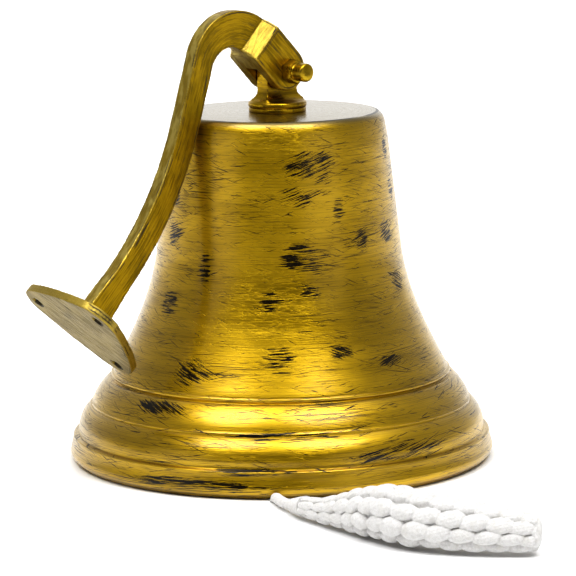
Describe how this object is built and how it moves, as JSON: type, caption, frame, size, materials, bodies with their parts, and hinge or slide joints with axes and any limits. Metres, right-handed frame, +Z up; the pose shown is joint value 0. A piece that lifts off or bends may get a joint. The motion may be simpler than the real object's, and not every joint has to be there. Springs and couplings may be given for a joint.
{
  "type": "ship bell",
  "caption": "Ship bell with a folding wall bracket on a crown hanger, a pinned clapper inside and a braided cotton lanyard on the clapper's tail.",
  "frame": {"origin": "centre of the bell's mouth, on the plane of the rim", "axes": "+Z up along the bell's axis to the crown, the bracket folds down towards -X, the hinge bolt lies along Y with its cap nut at -Y"},
  "size_m": [0.2394, 0.335, 0.2156],
  "materials": {
    "bell_brass": "antique brass, brushed round the bell, with dark scuffs",
    "turned_brass": "turned and polished",
    "bracket_brass": "cast and filed, dark in the corners",
    "plate_brass": "rough sanded face",
    "bolt_brass": "machined",
    "inner_brass": "dull, unpolished",
    "cotton": "soft twisted cotton"
  },
  "bodies": {
    "bell": {"bell_shell": "bell_brass", "crown_washer": "turned_brass", "crown_hanger": "turned_brass", "inner_washer": "inner_brass", "hanger_nut": "inner_brass", "clapper_eye": "inner_brass", "lanyard_neck": "cotton", "lanyard_whipping": "cotton", "lanyard_body": "cotton", "lanyard_end_knot": "cotton"},
    "bracket": {"bracket_arm": "bracket_brass", "wall_plate": "plate_brass", "hinge_bolt": "bolt_brass", "cap_nut": "bolt_brass"},
    "clapper": {"clapper_rod": "inner_brass", "clapper_ball": "inner_brass", "clapper_pin": "inner_brass", "tail_knot": "cotton"}
  },
  "joints": [
    {"name": "bracket_hinge", "type": "hinge", "parent": "bell", "child": "bracket", "pos_m": [0, 0, 0.1855], "axis": [0, 1, 0], "range_deg": [0, 120]},
    {"name": "clapper_swing", "type": "hinge", "parent": "bell", "child": "clapper", "pos_m": [0, 0, 0.131], "axis": [0, 1, 0], "range_deg": [-31, 31], "deforming": ["lanyard_neck"]}
  ]
}
